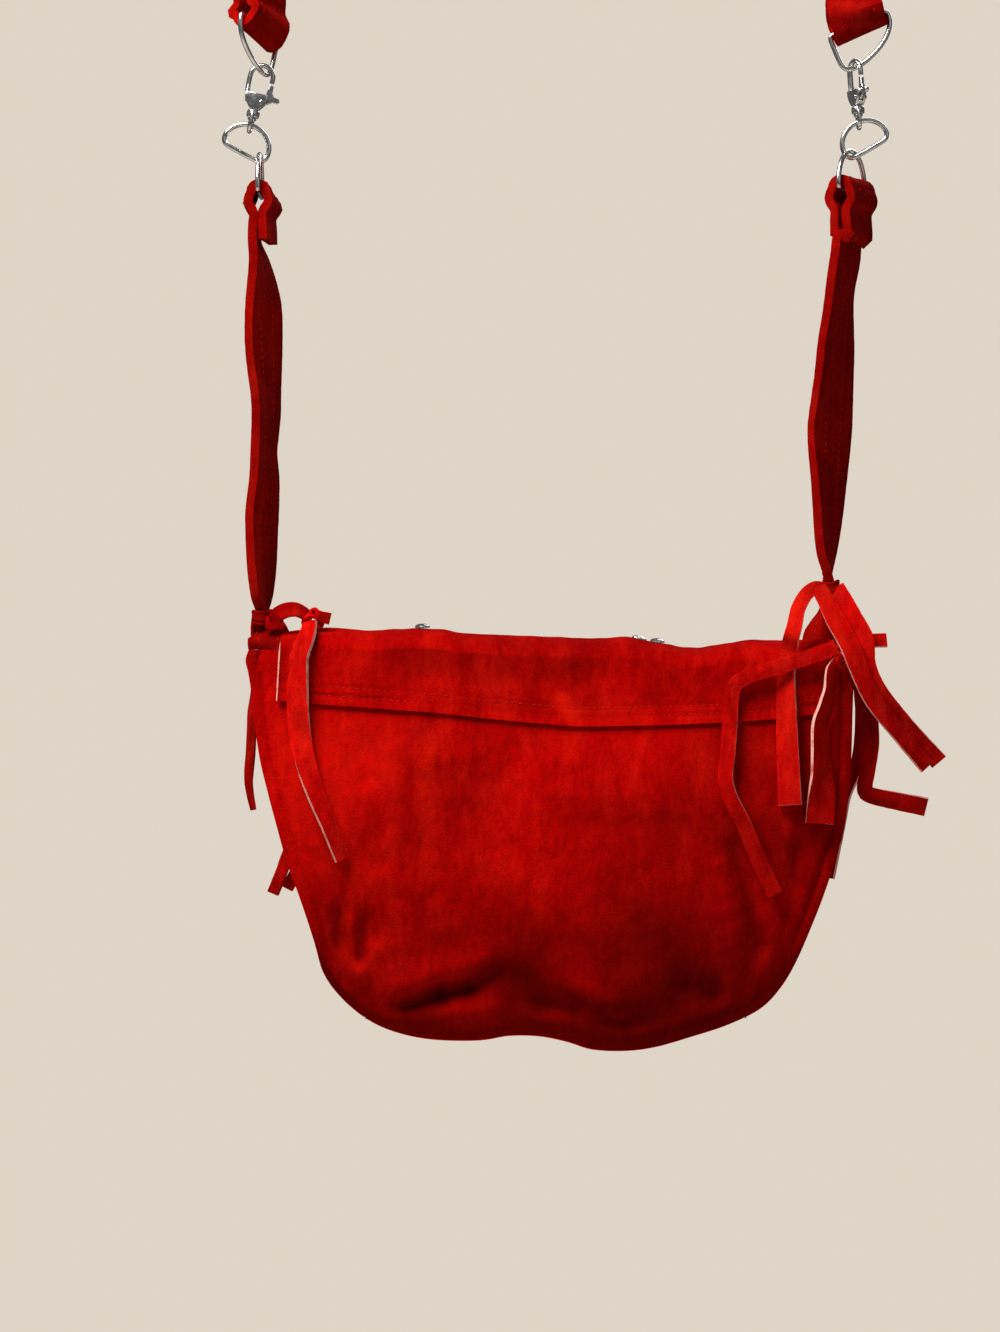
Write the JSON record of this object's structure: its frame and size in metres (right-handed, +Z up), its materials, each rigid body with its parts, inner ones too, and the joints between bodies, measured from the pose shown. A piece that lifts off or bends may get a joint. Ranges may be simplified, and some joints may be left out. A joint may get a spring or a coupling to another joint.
{
  "type": "fringed suede bag",
  "caption": "Half-moon suede shoulder bag with a sewn-on flap, a strap clipped on by swivel clasps, and tassels of knotted suede strips",
  "frame": {"origin": "the inner top of the shoulder strap's arch, where the hanging bag is held", "axes": "+Z up the hanging bag, +X along its width, -Y out of the plain back that the picture shows"},
  "size_m": [0.312, 0.0606, 0.6412],
  "materials": {
    "red_suede": "napped red suede, unlined",
    "strip_suede": "napped red suede with pale cut edges",
    "silver_metal": "bright silver plating",
    "spring_steel": "plain steel pin"
  },
  "bodies": {
    "root": {"back_panel": "red_suede", "front_panel": "red_suede", "gusset": "red_suede", "flap": "red_suede", "upper_strap": "red_suede", "left_lower_strap": "red_suede", "right_lower_strap": "red_suede", "left_tie": "strip_suede", "left_knot": "strip_suede", "left_strip_arch": "strip_suede", "left_strip_front": "strip_suede", "left_strip_tab": "strip_suede", "left_strip_edge": "strip_suede", "left_strip_behind": "strip_suede", "left_strip_inner": "strip_suede", "right_tie": "strip_suede", "right_knot": "strip_suede", "right_strip_a": "strip_suede", "right_strip_b": "strip_suede", "right_strip_c": "strip_suede", "right_strip_d": "strip_suede", "right_strip_e": "strip_suede", "right_strip_tab": "strip_suede", "right_strip_f": "strip_suede", "right_strip_g": "strip_suede", "left_stud": "silver_metal", "middle_stud": "silver_metal", "right_stud": "silver_metal", "left_upper_ring": "silver_metal", "left_lower_ring": "silver_metal", "left_clasp_dee": "silver_metal", "left_swivel_stirrup": "silver_metal", "right_upper_ring": "silver_metal", "right_lower_ring": "silver_metal", "right_clasp_dee": "silver_metal", "right_swivel_stirrup": "silver_metal"},
    "left_hook": {"left_hook": "silver_metal", "left_gate_pin": "spring_steel"},
    "right_hook": {"right_hook": "silver_metal", "right_gate_pin": "spring_steel"},
    "left_gate": {"left_gate": "silver_metal"},
    "right_gate": {"right_gate": "silver_metal"}
  },
  "joints": [
    {"name": "left_swivel", "type": "hinge", "parent": "root", "child": "left_hook", "pos_m": [-0.1296, 0, -0.23423], "axis": [0.225, 0, 0.9744], "range_deg": [-80, 10]},
    {"name": "left_gate_hinge", "type": "hinge", "parent": "left_hook", "child": "left_gate", "pos_m": [-0.12585, 0, -0.22955], "axis": [0, -1, 0], "range_deg": [0, 40], "stiffness_Nm_per_rad": 0.03},
    {"name": "right_swivel", "type": "hinge", "parent": "root", "child": "right_hook", "pos_m": [0.13206, 0, -0.23261], "axis": [-0.0698, 0, 0.9976], "range_deg": [-60, 20]},
    {"name": "right_gate_hinge", "type": "hinge", "parent": "right_hook", "child": "right_gate", "pos_m": [0.13265, -0.00241, -0.22716], "axis": [-0.9249, -0.3746, -0.0647], "range_deg": [0, 40], "stiffness_Nm_per_rad": 0.03}
  ]
}
